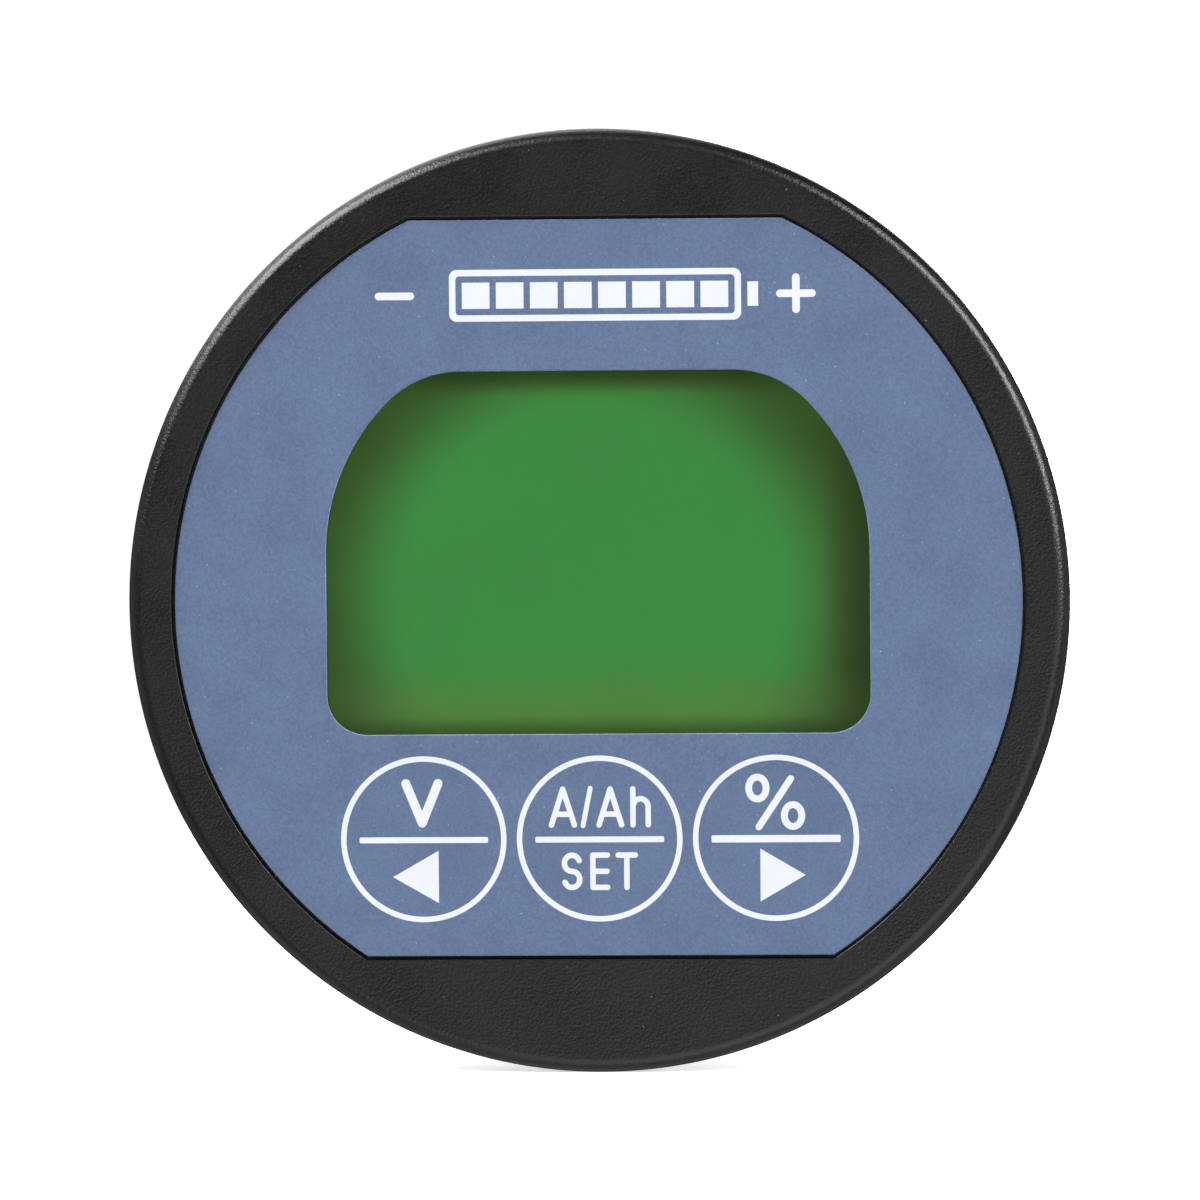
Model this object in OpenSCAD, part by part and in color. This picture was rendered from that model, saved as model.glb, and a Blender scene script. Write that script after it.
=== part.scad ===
// Panel display head of a battery monitor: a 62 mm round bezel on a threaded can that
// passes through a 52 mm hole and is clamped by a ring nut from behind.
//
// Every module draws in the face frame: X right, Y up, Z out of the display towards the
// reader, with Z = 0 on the panel. stand_up() turns that to the part frame, where the
// display looks along -Y, +Z is up and the panel is the plane Y = 0.

/* [Bezel] */
// Outer diameter of the bezel's flange
bezel_d = 62; // [60:0.5:64]
// Thickness of the flange
bezel_t = 3.6; // [3.4:0.1:4.2]
// Rounding of the flange's front edge
edge_r = 0.9; // [0.4:0.1:1.2]
// Depth of the recess that the printed overlay lies in
overlay_recess = 0.6; // [0.5:0.05:0.7]

/* [Overlay] */
// Diameter of the printed overlay
overlay_d = 55.8; // [55:0.1:56]
// Height of the overlay's top flat above the axis
overlay_top = 25.05; // [24.5:0.05:25.5]
// Distance of the overlay's bottom flat below the axis
overlay_bottom = 23.3; // [22.8:0.05:23.8]
// Thickness of the overlay film
film_t = 0.25; // [0.2:0.05:0.3]

/* [Window] */
// Width of the display window
window_w = 35.8; // [34:0.2:36.2]
// Height of the window's top edge above the axis
window_top = 15.13; // [14.5:0.01:15.3]
// Distance of the window's bottom edge below the axis
window_bottom = 8.73; // [8:0.01:8.9]
// Radius of the crown that clips the window's upper corners, about the axis
crown_r = 19.05; // [19:0.01:19.2]

/* [Keys] */
// Distance from one key to the next
key_pitch = 11.6; // [11.4:0.1:11.8]
// Distance of the row of keys below the axis
key_drop = 15.6; // [15.4:0.1:15.8]
// Diameter of the round film patch over each key
key_film_d = 10.6; // [10:0.1:10.6]

/* [Can] */
// Diameter of the plain collar that centres the can in the panel hole
pilot_d = 51.6; // [51.2:0.1:51.8]
// Length of that collar behind the panel's front face
pilot_l = 3; // [2:0.5:3]
// Outside diameter of the thread
thread_d = 51; // [50.6:0.1:51]
// Depth of the can behind the panel's front face
can_depth = 15; // [14.5:0.5:16]
// Thickness of the panel gasket
gasket_t = 1; // [0.6:0.1:1.2]

/* [Ring nut] */
// Outside diameter of the ring nut's flange
nut_d = 59.2; // [58:0.1:60]
// Length of the ring nut
nut_l = 6; // [5.5:0.5:7]
// Number of finger ribs round the ring nut
nut_ribs = 36; // [24:1:48]
// Thickness of the panel that the nut is set for
panel_t = 3; // [1:0.5:3]

/* [Hidden] */
$fn = 96;

EPS = 0.01;          // overrun of a cut past the face that it opens
CLEAR = 0.1;         // clearance between parts that only pass each other
LEFT = -1;           // place of each key in the row
CENTRE = 0;
RIGHT = 1;

// Levels along Z, from the front of the bezel back to the end of the can
face_z = gasket_t + bezel_t;
recess_z = face_z - overlay_recess;
recess_gap = 0.3;                         // gap round the overlay in its recess
adhesive_t = 0.1;
lens_t = 0.8;
ledge_t = 0.8;
foam_t = 0.4;
polarizer_t = 0.2;
glass_t = 0.7;
guide_t = 2.2;
board_t = 1.6;
lens_z = recess_z - lens_t;
wall_z = lens_z - ledge_t;                // inner face of the bezel's front wall
polarizer_z = wall_z - foam_t - polarizer_t;
front_glass_z = polarizer_z - glass_t;
rear_glass_z = front_glass_z - glass_t;
rear_film_z = rear_glass_z - polarizer_t;
guide_z = rear_film_z - guide_t;
board_top = guide_z - 0.2;
board_z = board_top - board_t;

// Window outline: the rounding radii of its corners, and the centres that follow
window_crest_r = 6.95;
window_side_r = 14;
window_foot_r = 2.6;
crest_y = window_top - window_crest_r;
crest_x = sqrt(pow(crown_r - window_crest_r, 2) - pow(crest_y, 2));
side_x = window_w / 2 - window_side_r;
side_y = sqrt(pow(crown_r - window_side_r, 2) - pow(side_x, 2));

window_gap = 0.1;                         // from the printed edge to the bezel's opening
lens_margin = 0.7;                        // from the printed edge to the lens's own edge
foam_inset = 0.2;
foam_margin = 1;

// Can, and the bezel's spigot that goes into it
can_inner_r = 24;
can_wall = 1.8;
can_chamfer = 0.8;
back_z = -can_depth;
back_inner_z = back_z + can_wall;
neck_r = pilot_d / 2 - 0.3;               // groove that lets the gasket lie flat
gasket_gap = 0.1;
gasket_r = bezel_d / 2 - 0.8;
spigot_r = 23.8;
spigot_end = -1.2;
pocket_r = 21.9;

// Keys
film_slit = 0.08;                         // slit that frees each film patch
relief_r = 5.65;
relief_depth = 0.9;
cap_r = 4;
cap_t = 0.6;
plunger_r = 2.5;
plunger_gap = 0.3;
plunger_end = 1.4;
stem_r = 1.2;
stem_reach = 0.6;
switch_w = 4.5;
switch_h = 2.2;
switch_cover_t = 0.2;
switch_gap = 0.2;
switch_top = board_top + switch_h;

// Display cell
glass_w = 38.6;
glass_top = 17.3;
glass_bottom = 9.9;
glass_r = 21.4;
holder_wall = 0.35;
ledge_h = 1.6;                            // strip of rear glass that the pins grip
film_inset = 0.4;
led_w = 1.2;
led_l = 4;
led_y = 2;
led_gap = 0.4;
lcd_pin_count = 15;
lcd_pin_pitch = 1.6;
lcd_pin_w = 0.4;
lcd_pin_t = 0.3;
lcd_pin_grip = 1.1;
lcd_pin_tail = 0.8;
lcd_pin_y = glass_top + holder_wall + CLEAR;
lcd_hole_r = 0.35;

// Case screws and the posts that they clamp the board between
screw_xy = [[0, 20.2], [17, -12.45], [-17, -12.45]];
screw_r = 1.1;
screw_head_r = 2.1;
screw_head_h = 1.6;
screw_tip = 1.2;
screw_bite = 0.05;                        // gap round the thread in the bezel's posts
screw_pass = 0.15;                        // gap round the screw where it only passes
head_gap = 0.4;
head_wall = 1.2;
slot_l = 2.4;
slot_w = 0.5;
slot_depth = 0.9;
post_r = 1.9;
head_seat_z = back_z + 2.4;
board_r = 23.4;

// Data socket: a shrouded four-pin header, and the well in the can that leads to it
socket_y = -6;
socket_w = 12.4;
socket_h = 5.75;
socket_l = 7;
socket_wall = 0.75;
socket_floor = 1.4;
socket_pins = 4;
socket_pitch = 2.5;
socket_pin_w = 0.64;
socket_pin_end = 0.6;                     // from the shroud's rim down to the pins' ends
socket_hole_r = 0.55;
latch_w = 1.4;
latch_x = 3.2;
well_w = 13.2;
well_h = 6.6;
well_wall = 1;

// Ring nut and its washer
washer_t = 1;
washer_r = 29.4;
washer_gap = 0.3;
mouth_gap = 0.35;
nut_front = -panel_t - washer_t - CLEAR / 2;
nut_flange_t = 2;
nut_relief = 2.3;                         // unthreaded mouth that passes the pilot collar
rib_r = 0.9;
nut_grip_r = nut_d / 2 - 1.2;

// Board components, as [x, y] on the back of the board
mcu_xy = [-9.5, 7.5];
driver_xy = [9.5, 6.5];
memory_xy = [-12, -4.5];
regulator_xy = [12.5, -4.5];
crystal_xy = [-1, 13.5];
capacitor_xy = [14.5, 13];
resistor_rows = [[-3.2, 4.4, 5], [-14, 1.2, 4], [4, -14.8, 5], [-13, 14.2, 3]];

function arc(centre, r, from, to, steps = 18) =
    [for (i = [0 : steps])
        let (a = from + (to - from) * i / steps) centre + r * [cos(a), sin(a)]];

// Right half of the window's outline, grown by g, from the top middle to the bottom middle
function window_half(g) =
    let (crest = [crest_x, crest_y], side = [side_x, side_y],
         foot = [window_w / 2 - window_foot_r, -window_bottom + window_foot_r],
         a_crest = atan2(crest_y, crest_x), a_side = atan2(side_y, side_x))
    concat(arc(crest, window_crest_r + g, 90, a_crest),
           arc([0, 0], crown_r + g, a_crest, a_side, 3),
           arc(side, window_side_r + g, a_side, 0),
           arc(foot, window_foot_r + g, 0, -90, 10));

function window_outline(g) =
    let (half = window_half(g), n = len(half))
    concat(half, [for (i = [n - 1 : -1 : 0]) [-half[i][0], half[i][1]]]);

module stand_up() rotate([90, 0, 0]) children();

// A flat plate of the 2D child, between two levels
module plate(from, to) translate([0, 0, from]) linear_extrude(to - from) children();

module disc(r, from, to) translate([0, 0, from]) cylinder(r = r, h = to - from);

module window_shape(g = 0) polygon(window_outline(g));

// A round blank with a flat at the top and at the bottom, as the overlay has
module flatted_disc(r, top, bottom)
    intersection() {
        circle(r = r);
        translate([-r, -bottom]) square([2 * r, top + bottom]);
    }

module overlay_shape(g = 0) flatted_disc(overlay_d / 2 + g, overlay_top + g, overlay_bottom + g);

// The display cell's outline, grown by g: a rectangle with its upper corners cut round
module cell_shape(g = 0, top = glass_top)
    intersection() {
        circle(r = glass_r + g);
        translate([-glass_w / 2 - g, -glass_bottom - g])
            square([glass_w + 2 * g, top + glass_bottom + 2 * g]);
    }

module at_key(place) translate([place * key_pitch, -key_drop, 0]) children();

module at_keys() for (place = [LEFT, CENTRE, RIGHT]) at_key(place) children();

module at_screws() for (xy = screw_xy) translate(xy) children();

module at_socket() translate([0, socket_y, 0]) children();

// ---- Case ----

module bezel_blank()
    rotate_extrude() {
        square([bezel_d / 2 - edge_r, face_z]);
        square([bezel_d / 2, face_z - edge_r]);
        translate([bezel_d / 2 - edge_r, face_z - edge_r]) circle(r = edge_r);
    }

module bezel_shell()
    difference() {
        union() {
            intersection() {
                bezel_blank();
                disc(bezel_d, gasket_t, face_z + EPS);
            }
            disc(spigot_r, spigot_end, gasket_t + EPS);
        }
        disc(pocket_r, spigot_end - EPS, wall_z);
        plate(recess_z, face_z + 1) overlay_shape(recess_gap);
        plate(lens_z, face_z) window_shape(lens_margin + CLEAR);
        plate(wall_z - 1, face_z) window_shape(window_gap);
        at_keys() {
            disc(relief_r, recess_z - relief_depth, face_z);
            disc(plunger_r + plunger_gap, wall_z - 1, face_z);
            plate(spigot_end - 1, switch_top + switch_gap)
                square(switch_w + 2 * switch_gap, center = true);
        }
    }

module front_bezel() color("#2c2d2e") stand_up()
    difference() {
        union() {
            bezel_shell();
            at_screws() disc(post_r, board_top, wall_z + EPS);
        }
        at_screws() disc(screw_r + screw_bite, board_top - 1, screw_tip + head_gap);
    }

module can_shell()
    difference() {
        union() {
            disc(neck_r, 0, gasket_t);
            disc(pilot_d / 2, -pilot_l, 0);
            disc(thread_d / 2, back_z + can_chamfer, -pilot_l);
            translate([0, 0, back_z])
                cylinder(r1 = thread_d / 2 - can_chamfer, r2 = thread_d / 2, h = can_chamfer);
        }
        disc(can_inner_r, back_inner_z, gasket_t + EPS);
    }

module rear_can() color("#242526") stand_up()
    difference() {
        union() {
            can_shell();
            at_screws() disc(post_r, back_inner_z - EPS, board_z);
            intersection() {
                at_screws()
                    disc(screw_head_r + head_wall, back_inner_z - EPS, head_seat_z + 1);
                disc(can_inner_r + EPS, back_z, 0);
            }
            at_socket() plate(back_inner_z - EPS, board_z - socket_l - CLEAR)
                square([well_w + 2 * well_wall, well_h + 2 * well_wall], center = true);
        }
        at_socket() plate(back_z - 1, 0) square([well_w, well_h], center = true);
        at_screws() {
            disc(screw_r + screw_pass, back_z - 1, board_z + 1);
            disc(screw_head_r + head_gap, back_z - 1, head_seat_z);
        }
    }

module panel_gasket() color("#1a1a1a") stand_up()
    difference() {
        disc(gasket_r, 0, gasket_t);
        disc(pilot_d / 2 + gasket_gap, -1, gasket_t + 1);
    }

module case_screw()
    difference() {
        union() {
            disc(screw_r, head_seat_z - EPS, screw_tip);
            disc(screw_head_r, head_seat_z - screw_head_h, head_seat_z);
        }
        plate(head_seat_z - screw_head_h - 1, head_seat_z - screw_head_h + slot_depth) {
            square([slot_l, slot_w], center = true);
            square([slot_w, slot_l], center = true);
        }
    }

module case_screws() color("#b8babd") stand_up() at_screws() case_screw();

// ---- Overlay and window ----

module overlay_sheet() color("#6b7ea0") stand_up()
    difference() {
        plate(recess_z + adhesive_t, recess_z + adhesive_t + film_t) overlay_shape();
        plate(recess_z - 1, face_z + 1) window_shape();
        at_keys() disc(key_film_d / 2 + film_slit, recess_z - 1, face_z + 1);
    }

module overlay_adhesive() color("#d8d4c8") stand_up()
    difference() {
        plate(recess_z, recess_z + adhesive_t) overlay_shape();
        plate(recess_z - 1, face_z + 1) window_shape(0.3);
        at_keys() disc(relief_r, recess_z - 1, face_z + 1);
    }

module window_lens() color("#dfe8e4") stand_up()
    plate(lens_z, recess_z) window_shape(lens_margin);

module dust_foam() color("#151515") stand_up()
    difference() {
        plate(wall_z - foam_t, wall_z) window_shape(foam_margin);
        plate(wall_z - 1, wall_z + 1) window_shape(foam_inset);
    }

// ---- Display cell ----

module lcd_front_polarizer() color("#3f8a41") stand_up()
    plate(polarizer_z, polarizer_z + polarizer_t) cell_shape(-film_inset, glass_top - ledge_h);

module lcd_front_glass() color("#9fc7a8") stand_up()
    plate(front_glass_z, polarizer_z) cell_shape(0, glass_top - ledge_h);

module lcd_rear_glass() color("#9fc7a8") stand_up()
    plate(rear_glass_z, front_glass_z) cell_shape();

module lcd_rear_film() color("#86b07e") stand_up()
    plate(rear_film_z, rear_glass_z) cell_shape(-film_inset);

module led_seats(grow = 0)
    for (side = [-1, 1])
        translate([side * (glass_w / 2 - led_w / 2 - CLEAR), led_y, 0])
            square([led_w + grow, led_l + 2 * grow], center = true);

module backlight_guide() color("#e6f0d8") stand_up()
    plate(guide_z, rear_film_z) difference() {
        cell_shape(-0.05);
        led_seats(led_gap);
    }

module backlight_leds() color("#f2efe2") stand_up()
    plate(board_top, rear_film_z - led_gap) led_seats();

module lcd_holder() color("#e9e9e4") stand_up()
    plate(board_top, front_glass_z - CLEAR) difference() {
        cell_shape(holder_wall);
        cell_shape(0.02);
    }

// One flat pin: a finger over the rear glass's edge, and a leg down through the board
module lcd_pin() {
    plate(front_glass_z, front_glass_z + lcd_pin_t)
        translate([-lcd_pin_w / 2, glass_top - lcd_pin_grip])
            square([lcd_pin_w, lcd_pin_y + lcd_pin_t - glass_top + lcd_pin_grip]);
    plate(board_z - lcd_pin_tail, front_glass_z + lcd_pin_t)
        translate([-lcd_pin_w / 2, lcd_pin_y]) square([lcd_pin_w, lcd_pin_t]);
}

module at_lcd_pins()
    for (i = [0 : lcd_pin_count - 1])
        translate([(i - (lcd_pin_count - 1) / 2) * lcd_pin_pitch, 0, 0]) children();

module lcd_pins() color("#c9cacc") stand_up() at_lcd_pins() lcd_pin();

// ---- Board ----

module at_socket_pins()
    at_socket() for (i = [0 : socket_pins - 1])
        translate([(i - (socket_pins - 1) / 2) * socket_pitch, 0, 0]) children();

module main_board() color("#1f6b3a") stand_up()
    difference() {
        disc(board_r, board_z, board_top);
        at_screws() disc(screw_r + screw_pass, board_z - 1, board_top + 1);
        at_lcd_pins() translate([0, lcd_pin_y + lcd_pin_t / 2, 0])
            disc(lcd_hole_r, board_z - 1, board_top + 1);
        at_socket_pins() disc(socket_hole_r, board_z - 1, board_top + 1);
    }

module switch_body(place) color("#202020") stand_up() at_key(place)
    difference() {
        plate(board_top, switch_top - switch_cover_t)
            square([switch_w, switch_w], center = true);
        disc(stem_r + CLEAR, switch_top - stem_reach - 0.6, switch_top + 1);
    }

module switch_cover(place) color("#c4c6c8") stand_up() at_key(place)
    difference() {
        plate(switch_top - switch_cover_t, switch_top)
            square([switch_w, switch_w], center = true);
        disc(stem_r + CLEAR, board_top, switch_top + 1);
    }

// A block on the back of the board, as wide, high and thick as size says
module on_back(xy, size, lift = 0)
    translate([xy[0], xy[1], board_z - lift - size[2] / 2]) cube(size, center = true);

module microcontroller() color("#1c1c1e") stand_up() on_back(mcu_xy, [4.4, 6.5, 1], 0.1);

module display_driver() color("#1c1c1e") stand_up() on_back(driver_xy, [7, 7, 1.4], 0.1);

module memory_chip() color("#1c1c1e") stand_up() on_back(memory_xy, [4.9, 3.9, 1.4], 0.1);

module voltage_regulator() color("#1c1c1e") stand_up()
    on_back(regulator_xy, [4.5, 2.5, 1.5]);

// Rows of leads along X on the two long sides of a chip
module lead_rows(xy, count, pitch, reach, width)
    for (i = [0 : count - 1], side = [-1, 1])
        on_back(xy + [(i - (count - 1) / 2) * pitch, side * reach], [width, 1, 0.15]);

// The same, along Y
module lead_columns(xy, count, pitch, reach, width)
    for (i = [0 : count - 1], side = [-1, 1])
        on_back(xy + [side * reach, (i - (count - 1) / 2) * pitch], [1, width, 0.15]);

module chip_leads() color("#d3d5d7") stand_up() {
    lead_columns(mcu_xy, 10, 0.65, 2.7, 0.25);
    lead_rows(driver_xy, 12, 0.5, 4, 0.22);
    lead_columns(driver_xy, 12, 0.5, 4, 0.22);
    lead_rows(memory_xy, 4, 1.27, 2.45, 0.4);
    for (i = [-1 : 1]) on_back(regulator_xy + [i * 1.5, -1.75], [0.45, 1, 0.3]);
}

module crystal() color("#c7c9cb") stand_up()
    plate(board_z - 2.2, board_z) translate(crystal_xy) {
        square([6.6, 3.8], center = true);
        for (side = [-1, 1]) translate([side * 3.3, 0]) circle(r = 1.9);
    }

module smoothing_capacitor() color("#b4b6ba") stand_up()
    translate(capacitor_xy) disc(2.5, board_z - 5.4, board_z);

module chip_resistors() color("#26262a") stand_up()
    for (row = resistor_rows, i = [0 : row[2] - 1])
        on_back([row[0] + i * 1.6, row[1]], [0.8, 1.6, 0.5]);

module data_socket() color("#ecebe4") stand_up() at_socket()
    difference() {
        plate(board_z - socket_l, board_z) square([socket_w, socket_h], center = true);
        plate(board_z - socket_l - 1, board_z - socket_floor)
            square([socket_w - 2 * socket_wall, socket_h - 2 * socket_wall], center = true);
        for (side = [-1, 1]) translate([side * latch_x, socket_h / 2, 0])
            plate(board_z - socket_l - 1, board_z - socket_l / 2)
                square([latch_w, 3 * socket_wall], center = true);
        for (i = [0 : socket_pins - 1])
            translate([(i - (socket_pins - 1) / 2) * socket_pitch, 0, 0])
                plate(board_z - socket_l, board_z + 1)
                    square(socket_pin_w + 2 * EPS, center = true);
    }

module data_socket_pins() color("#d9d6c4") stand_up() at_socket_pins()
    plate(board_z - socket_l + socket_pin_end, board_top + CLEAR)
        square(socket_pin_w, center = true);

// ---- Keys ----

module key_film(place) color("#6b7ea0") stand_up() at_key(place)
    disc(key_film_d / 2, recess_z + adhesive_t, recess_z + adhesive_t + film_t);

module key_cap(place) color("#3a3b3d") stand_up() at_key(place) {
    disc(cap_r, recess_z + adhesive_t - cap_t, recess_z + adhesive_t);
    disc(plunger_r, plunger_end, recess_z + adhesive_t - cap_t + EPS);
}

module key_stem(place) color("#e4e4df") stand_up() at_key(place)
    disc(stem_r, switch_top - stem_reach, plunger_end);

// ---- Ring nut ----

module clamp_washer() color("#c9cbce") stand_up()
    difference() {
        disc(washer_r, -panel_t - washer_t, -panel_t);
        disc(pilot_d / 2 + washer_gap, -panel_t - washer_t - 1, -panel_t + 1);
    }

module ring_nut() color("#2a2b2c") stand_up()
    difference() {
        union() {
            disc(nut_d / 2, nut_front - nut_flange_t, nut_front);
            disc(nut_grip_r, nut_front - nut_l, nut_front - nut_flange_t + EPS);
            for (i = [0 : nut_ribs - 1]) rotate(i * 360 / nut_ribs)
                translate([nut_grip_r - 0.1, 0, 0])
                    disc(rib_r, nut_front - nut_l + 0.4, nut_front - nut_flange_t + EPS);
        }
        disc(thread_d / 2 + CLEAR, nut_front - nut_l - 1, nut_front + 1);
        disc(pilot_d / 2 + mouth_gap, nut_front - nut_relief, nut_front + 1);
    }

front_bezel();
rear_can();
panel_gasket();
overlay_sheet();
overlay_adhesive();
window_lens();
dust_foam();
lcd_front_polarizer();
lcd_front_glass();
lcd_rear_glass();
lcd_rear_film();
backlight_guide();
backlight_leds();
lcd_holder();
lcd_pins();
main_board();
switch_body(LEFT);  // switch_body_left
switch_body(CENTRE);  // switch_body_centre
switch_body(RIGHT);  // switch_body_right
switch_cover(LEFT);  // switch_cover_left
switch_cover(CENTRE);  // switch_cover_centre
switch_cover(RIGHT);  // switch_cover_right
microcontroller();
display_driver();
memory_chip();
voltage_regulator();
chip_leads();
crystal();
smoothing_capacitor();
chip_resistors();
data_socket();
data_socket_pins();
case_screws();
key_film(LEFT);  // key_film_left
key_cap(LEFT);  // key_cap_left
key_stem(LEFT);  // key_stem_left
key_film(CENTRE);  // key_film_centre
key_cap(CENTRE);  // key_cap_centre
key_stem(CENTRE);  // key_stem_centre
key_film(RIGHT);  // key_film_right
key_cap(RIGHT);  // key_cap_right
key_stem(RIGHT);  // key_stem_right
clamp_washer();
ring_nut();
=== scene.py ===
"""Looks of a round battery monitor display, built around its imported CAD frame.

The display looks along -Y and +Z is up, so outlines are points (x, z) and levels are y.
"""

import math

import bmesh
import bpy
import numpy as np
from mathutils import Matrix, Quaternion, Vector
from mathutils.geometry import delaunay_2d_cdt

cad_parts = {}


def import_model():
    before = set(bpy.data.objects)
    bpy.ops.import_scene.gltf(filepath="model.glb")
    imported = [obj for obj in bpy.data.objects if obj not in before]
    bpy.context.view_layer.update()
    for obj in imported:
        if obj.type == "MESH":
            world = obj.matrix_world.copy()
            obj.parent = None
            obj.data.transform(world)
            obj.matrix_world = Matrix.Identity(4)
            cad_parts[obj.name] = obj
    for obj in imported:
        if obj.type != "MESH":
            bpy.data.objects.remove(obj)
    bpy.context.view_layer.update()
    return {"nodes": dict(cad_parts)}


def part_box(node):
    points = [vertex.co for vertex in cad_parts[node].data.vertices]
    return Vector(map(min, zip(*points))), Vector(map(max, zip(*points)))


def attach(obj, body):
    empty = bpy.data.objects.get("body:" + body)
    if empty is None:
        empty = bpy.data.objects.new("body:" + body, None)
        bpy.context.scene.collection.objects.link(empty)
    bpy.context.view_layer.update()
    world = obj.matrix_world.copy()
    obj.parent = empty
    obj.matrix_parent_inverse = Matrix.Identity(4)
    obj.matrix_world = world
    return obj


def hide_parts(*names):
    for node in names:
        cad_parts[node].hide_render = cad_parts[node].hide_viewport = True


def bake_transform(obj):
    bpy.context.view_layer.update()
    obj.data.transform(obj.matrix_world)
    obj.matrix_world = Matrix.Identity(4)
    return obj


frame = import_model()

MM = 0.001
KEYS = ("left", "centre", "right")


def front(node):
    """Level of a node's face towards the reader."""
    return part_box(node)[0].y


def back(node):
    """Level of a node's face away from the reader."""
    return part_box(node)[1].y


def middle(node):
    """Centre of a node, as (x, z)."""
    low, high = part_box(node)
    return (low.x + high.x) / 2, (low.z + high.z) / 2


def width(node):
    low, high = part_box(node)
    return high.x - low.x


# ---- Sizes ----

# Levels, from the front to the back
FACE = front("front_bezel")
FILM_FRONT = front("overlay_sheet")
FILM_BACK = back("overlay_sheet")
RECESS = back("overlay_adhesive")
LENS_BACK = back("window_lens")
WALL = front("dust_foam")
FLANGE_BACK = front("rear_can")
CAN_BACK = back("rear_can")
SPIGOT_END = 1.2 * MM

# How far a solid that is added to another, or cuts it, passes the other's face
SINK = 0.3 * MM
OVERLAP = 0.1 * MM
BEYOND = 1 * MM
HAIR = 0.001 * MM

# Bezel
BEZEL_R = width("front_bezel") / 2
EDGE_R = 0.9 * MM
RECESS_GAP = 0.22 * MM
RECESS_EDGE = 0.05 * MM
FLANGE_EDGE = 0.12 * MM
SPIGOT_EDGE = 0.2 * MM
MOAT_DEPTH = 0.5 * MM
MOAT_INSET = 0.15 * MM
FLAT_MARGIN = 0.06 * MM
SPIGOT_R = 23.8 * MM
POCKET_R = 21.9 * MM
RELIEF_R = 5.65 * MM
RELIEF_DEPTH = 0.9 * MM
PLUNGER_HOLE_R = 2.8 * MM
SWITCH_ROOM = 4.9 * MM
SWITCH_GAP = 0.2 * MM
POST_R = 1.9 * MM
SCREW_HOLE_R = 1.15 * MM
SCREW_HOLE_END = -1.6 * MM

# Overlay: a disc with a flat at the top and at the foot
FILM_R = width("overlay_sheet") / 2
FILM_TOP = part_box("overlay_sheet")[1].z
FILM_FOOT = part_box("overlay_sheet")[0].z
FILM_EDGE = 0.06 * MM
INK = 0.008 * MM

# Window: the printed edge lies inside the lens by a margin
LENS_MARGIN = 0.7 * MM
LENS_GAP = 0.1 * MM
WINDOW_HALF = width("window_lens") / 2 - LENS_MARGIN
WINDOW_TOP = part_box("window_lens")[1].z - LENS_MARGIN
WINDOW_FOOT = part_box("window_lens")[0].z + LENS_MARGIN
CROWN_R = 19.05 * MM
CREST_R = 6.95 * MM
SIDE_R = 14 * MM
FOOT_R = 2.6 * MM

# Painted shade on the display at each edge of the window, for the shadow of the window's edges and
# the backlight's unevenness: the display's light at that edge, and how far in it takes to reach full
# strength
RIGHT_PAINTED_SHADE = (0.04, 3.7 * MM)
TOP_PAINTED_SHADE = (0.0, 1.9 * MM)
FOOT_PAINTED_SHADE = (0.3, 1.4 * MM)
CROWN_PAINTED_SHADE = (0.24, 7.1 * MM)
# How far the centre of the crown's painted shade is moved to the left, and where the display turns
# olive towards its foot
CROWN_SHADE_SHIFT = 0.4 * MM
OLIVE_FROM = 5 * MM
OLIVE_TO = 1 * MM

# Keys: each film patch is dished, so that it can bend from its rim to its cap
PATCH_R = 5.6 * MM
BEND_R = 5.5 * MM
DISH = 0.04 * MM
CAP_R = width("key_cap_centre") / 2
KEY_SIDES = 192

# Can
PILOT_R = 25.8 * MM
NECK_R = 25.5 * MM
PILOT_END = 3 * MM
CAN_INNER_R = 24 * MM
CAN_INNER_BACK = CAN_BACK - 1.8 * MM
CAN_CHAMFER = 0.8 * MM
CAN_MARGIN = 0.15 * MM

# Threads: each one's phase, and its half widths at the crest and the root, are in pitches
THREAD_PITCH = 2 * MM
THREAD_CREST_R = 25.5 * MM
THREAD_ROOT_R = 24.8 * MM
THREAD_FORM = (0.0, 0.14, 0.34)
THREAD_START = CAN_BACK - 0.06 * MM
THREAD_STOP = PILOT_END + 0.12 * MM
THREAD_RUN_OUT = 0.5 * MM
THREAD_FADE = 0.8 * MM
NUT_CREST_R = 25.05 * MM
NUT_ROOT_R = 25.6 * MM
NUT_FORM = (0.5, 0.1, 0.27)
NUT_LEAD_IN = 0.5 * MM
ROW = 0.1 * MM

# Gasket and washer
GASKET_GAP = 0.1 * MM
GASKET_EDGE = 0.15 * MM
GASKET_INNER_EDGE = 0.1 * MM
GROOVE_DEPTH = 0.18 * MM
GROOVE_MOUTH = 0.3 * MM
GROOVE_FLOOR = 0.12 * MM
WASHER_GAP = 0.3 * MM
WASHER_EDGE = 0.18 * MM

# Ring nut
NUT_FRONT = front("ring_nut")
NUT_BACK = back("ring_nut")
NUT_R = width("ring_nut") / 2
NUT_GRIP_R = NUT_R - 1.2 * MM
NUT_FLANGE = 2 * MM
NUT_MOUTH = 2.3 * MM
NUT_MOUTH_R = 26.15 * MM
NUT_EDGE = 0.35 * MM
NUT_BACK_EDGE = 0.25 * MM
NUT_RIBS = 36
RIB_R = 0.9 * MM
RIB_SINK = 0.1 * MM
RIB_END = NUT_BACK - 0.4 * MM
RIB_EASE = 0.9 * MM

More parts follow.
